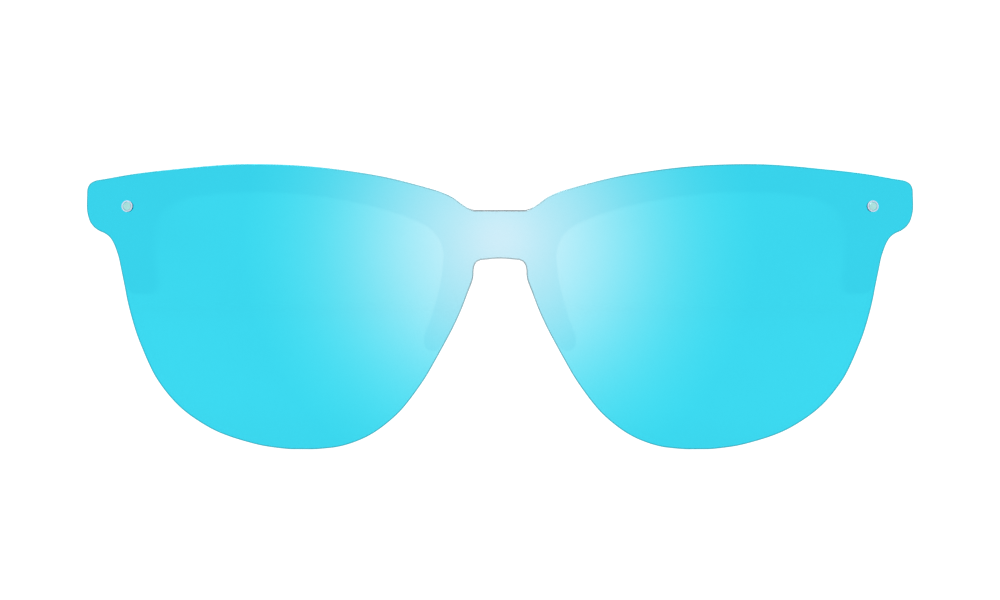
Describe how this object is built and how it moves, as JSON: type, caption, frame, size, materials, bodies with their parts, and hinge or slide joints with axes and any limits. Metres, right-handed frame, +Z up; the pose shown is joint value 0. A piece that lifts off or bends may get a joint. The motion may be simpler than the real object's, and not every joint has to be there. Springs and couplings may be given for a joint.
{
  "type": "shield sunglasses",
  "caption": "Rimless sunglasses with a one-piece mirrored shield lens pinned over a half-frame, nose pads and folding temples.",
  "frame": {"origin": "on the ground plane, under the middle of the overall width and depth", "axes": "+X to the wearer's left, +Y backwards along the temples, +Z up; the lens faces -Y"},
  "size_m": [0.144, 0.1508, 0.0493],
  "materials": {
    "mirrored_lens": "sky-blue mirror coating over a tinted lens, glossy",
    "frame_plastic": "satin black moulded nylon",
    "temple_plastic": "satin black moulded nylon",
    "soft_pad": "milky clear silicone, satin",
    "soft_tip": "matte black soft-touch rubber",
    "nylon": "natural nylon",
    "pin_steel": "satin steel",
    "steel": "turned steel",
    "wire_steel": "drawn wire"
  },
  "bodies": {
    "front": {"shield_lens": "mirrored_lens", "front_frame": "frame_plastic", "lens_pin_left": "pin_steel", "lens_pin_right": "pin_steel", "pin_sleeve_left": "nylon", "pin_sleeve_right": "nylon", "pin_nut_left": "steel", "pin_nut_right": "steel", "nose_pad_left": "soft_pad", "nose_pad_right": "soft_pad", "front_hinge_left": "steel", "front_hinge_right": "steel", "hinge_foot_screw_left": "steel", "hinge_foot_screw_right": "steel", "hinge_screw_left": "steel", "hinge_screw_right": "steel"},
    "temple_left": {"temple_hinge_left": "steel", "temple_rivet_front_left": "steel", "temple_rivet_rear_left": "steel", "temple_arm_left": "temple_plastic", "core_wire_left": "wire_steel", "temple_tip_left": "soft_tip"},
    "temple_right": {"temple_hinge_right": "steel", "temple_rivet_front_right": "steel", "temple_rivet_rear_right": "steel", "temple_arm_right": "temple_plastic", "core_wire_right": "wire_steel", "temple_tip_right": "soft_tip"}
  },
  "joints": [
    {"name": "fold_left", "type": "hinge", "parent": "front", "child": "temple_left", "pos_m": [0.0652, -0.0573, 0.0421], "axis": [0, 0, 1], "range_deg": [0, 90]},
    {"name": "fold_right", "type": "hinge", "parent": "front", "child": "temple_right", "pos_m": [-0.0652, -0.0573, 0.0421], "axis": [0, 0, -1], "range_deg": [0, 83]}
  ]
}
